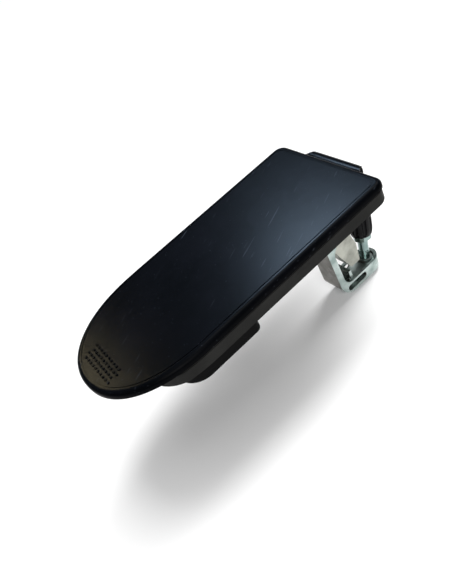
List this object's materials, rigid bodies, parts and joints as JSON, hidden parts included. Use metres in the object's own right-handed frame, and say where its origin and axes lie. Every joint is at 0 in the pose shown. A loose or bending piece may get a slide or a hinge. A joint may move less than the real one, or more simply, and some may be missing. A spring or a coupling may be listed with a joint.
{
  "type": "flush compression latch handle",
  "caption": "Flush lever handle with a rounded tip, finger tub, hinged bracket and sprung J-shaped pawl with an adjusting bolt, for a panel or canopy door",
  "frame": {"origin": "middle of the handle's length and width, on the mounting face under the flange", "axes": "+X along the handle to its hinged square end, +Z out of the door, +Y across to the left seen from the tip"},
  "size_m": [0.1473, 0.066, 0.066],
  "materials": {
    "handle_black": "semi-gloss moulded, blue-black",
    "housing_black": "matte grained, black",
    "zinc": "bright blue-green zinc plate",
    "grey_plate": "matt warm grey plate",
    "steel": "plain bright steel",
    "spring_steel": "dark drawn wire",
    "brass": "plain",
    "rubber": "ribbed black rubber",
    "gasket_foam": "closed-cell foam",
    "nylon": "natural nylon",
    "cap_plastic": "black"
  },
  "bodies": {
    "frame": {"housing": "housing_black", "gasket": "gasket_foam", "thread_inserts": "brass", "lever_bumpers": "rubber", "hinge_ears": "grey_plate", "ear_rivets": "steel", "hinge_bushes": "nylon"},
    "lever": {"lever_handle": "handle_black", "lever_bracket": "grey_plate", "bracket_screws": "steel", "hinge_pin": "steel", "hinge_end_caps": "cap_plastic", "hinge_spacers": "nylon", "lever_springs": "spring_steel", "pawl_pin": "steel", "pawl_pin_ring": "spring_steel", "pawl_spring": "spring_steel"},
    "catch": {"pawl": "zinc", "nut_plate": "zinc", "thread_lock_ring": "nylon"},
    "adjuster": {"adjusting_bolt": "zinc", "bumper_cap": "rubber"}
  },
  "joints": [
    {"name": "lever_hinge", "type": "hinge", "parent": "frame", "child": "lever", "pos_m": [0.0708, 0, 0.0035], "axis": [0, 1, 0], "range_deg": [0, 45], "stiffness_Nm_per_rad": 0.15, "springref_deg": -28.65, "deforming": ["lever_springs"]},
    {"name": "pawl_hinge", "type": "hinge", "parent": "lever", "child": "catch", "pos_m": [0.0545, 0, -0.014], "axis": [0, 1, 0], "range_deg": [0, 4.5], "stiffness_Nm_per_rad": 0.3, "springref_deg": -17.19, "deforming": ["pawl_spring"]},
    {"name": "bolt_adjustment", "type": "slide", "parent": "catch", "child": "adjuster", "axis": [0.1994, 0, 0.9799], "range_m": [-0.004, 0.001]}
  ]
}
